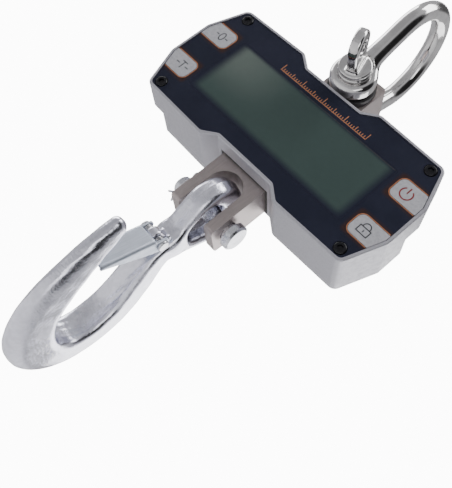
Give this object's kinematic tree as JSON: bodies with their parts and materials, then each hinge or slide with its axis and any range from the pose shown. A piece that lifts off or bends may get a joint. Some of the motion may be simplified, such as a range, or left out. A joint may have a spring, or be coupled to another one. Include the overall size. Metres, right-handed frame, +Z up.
{
  "type": "crane scale",
  "caption": "Hanging crane scale with a flat display housing on a load cell, a screw-pin bow shackle above and a swinging safety hook below.",
  "frame": {"origin": "the point inside the shackle's crown where a crane hook bears", "axes": "+Z up along the load axis, -Y towards the reader of the display, X along the housing"},
  "size_m": [0.2116, 0.1164, 0.4003],
  "materials": {
    "silver_casting": "die-cast aluminium, satin silver paint",
    "stainless_brushed": "brushed stainless steel, warm grey",
    "stainless_polished": "polished stainless steel",
    "zinc_forging": "drop forged steel, bright zinc plated",
    "zinc_sheet": "pressed steel sheet, zinc plated, satin",
    "spring_steel": "spring wire",
    "black_screw": "black oxide steel, glossy",
    "facia_navy": "dark navy printed polycarbonate, gloss",
    "display_tint": "clear pane over a grey-green display",
    "key_grey": "light grey silicone key with orange outline",
    "rubber_black": "black rubber",
    "nylon_black": "black nylon",
    "board_green": "solder mask",
    "component_black": "moulded packages",
    "lcd_glass": "liquid crystal cell",
    "white_plastic": "white diffuser",
    "battery_wrap": "shrink wrap",
    "zinc_small": "zinc plated",
    "gauge_foil": "polyimide foil",
    "wire_grey": "cable sheath"
  },
  "bodies": {
    "shackle": {"shackle_bow": "stainless_polished", "shackle_pin": "stainless_polished", "shackle_spacers": "nylon_black"},
    "housing": {"housing_casting": "silver_casting", "rear_cover": "silver_casting", "rear_cover_gasket": "rubber_black", "rear_cover_screws": "zinc_small", "facia_panel": "facia_navy", "display_window": "display_tint", "facia_gasket": "rubber_black", "facia_screws": "black_screw", "tact_switches": "component_black", "lcd_glass": "lcd_glass", "backlight": "white_plastic", "lcd_frame": "component_black", "main_board": "board_green", "board_components": "component_black", "board_screws": "zinc_small", "buzzer": "component_black", "radio_module": "board_green", "battery_pack": "battery_wrap", "battery_bracket": "component_black", "charging_jack": "nylon_black", "charging_jack_nut": "zinc_small", "load_cell": "stainless_brushed", "strain_gauges": "gauge_foil", "gauge_wires": "wire_grey", "load_cell_screws": "zinc_small", "top_seal": "rubber_black", "bottom_seal": "rubber_black"},
    "clevis_pin": {"clevis_pin": "zinc_small", "clevis_washer": "zinc_small", "split_pin": "zinc_small"},
    "hook": {"hook": "zinc_forging", "latch_rivet": "zinc_small", "latch_spring": "spring_steel"},
    "latch": {"latch": "zinc_sheet"},
    "key_zero": {"key_zero": "key_grey", "plunger_zero": "component_black"},
    "key_tare": {"key_tare": "key_grey", "plunger_tare": "component_black"},
    "key_power": {"key_power": "key_grey", "plunger_power": "component_black"},
    "key_lock": {"key_lock": "key_grey", "plunger_lock": "component_black"}
  },
  "joints": [
    {"name": "shackle_swing", "type": "hinge", "parent": "shackle", "child": "housing", "pos_m": [0, 0, -0.0898], "axis": [0, 1, 0], "range_deg": [-90, 90]},
    {"name": "clevis_pin_turn", "type": "hinge", "parent": "housing", "child": "clevis_pin", "pos_m": [0, 0, -0.2257], "axis": [1, 0, 0], "continuous": true},
    {"name": "hook_swing", "type": "hinge", "parent": "housing", "child": "hook", "pos_m": [0, 0, -0.2257], "axis": [1, 0, 0], "range_deg": [-80, 80]},
    {"name": "latch_open", "type": "hinge", "parent": "hook", "child": "latch", "pos_m": [0, -0.0205, -0.2692], "axis": [1, 0, 0], "range_deg": [0, 38], "stiffness_Nm_per_rad": 0.06, "springref_deg": -34.38},
    {"name": "press_zero", "type": "slide", "parent": "housing", "child": "key_zero", "axis": [0, 1, 0], "range_m": [0, 0.0004], "stiffness_N_per_m": 200, "springref_m": -0.002},
    {"name": "press_tare", "type": "slide", "parent": "housing", "child": "key_tare", "axis": [0, 1, 0], "range_m": [0, 0.0004], "stiffness_N_per_m": 200, "springref_m": -0.002},
    {"name": "press_power", "type": "slide", "parent": "housing", "child": "key_power", "axis": [0, 1, 0], "range_m": [0, 0.0004], "stiffness_N_per_m": 200, "springref_m": -0.002},
    {"name": "press_lock", "type": "slide", "parent": "housing", "child": "key_lock", "axis": [0, 1, 0], "range_m": [0, 0.0004], "stiffness_N_per_m": 200, "springref_m": -0.002}
  ]
}
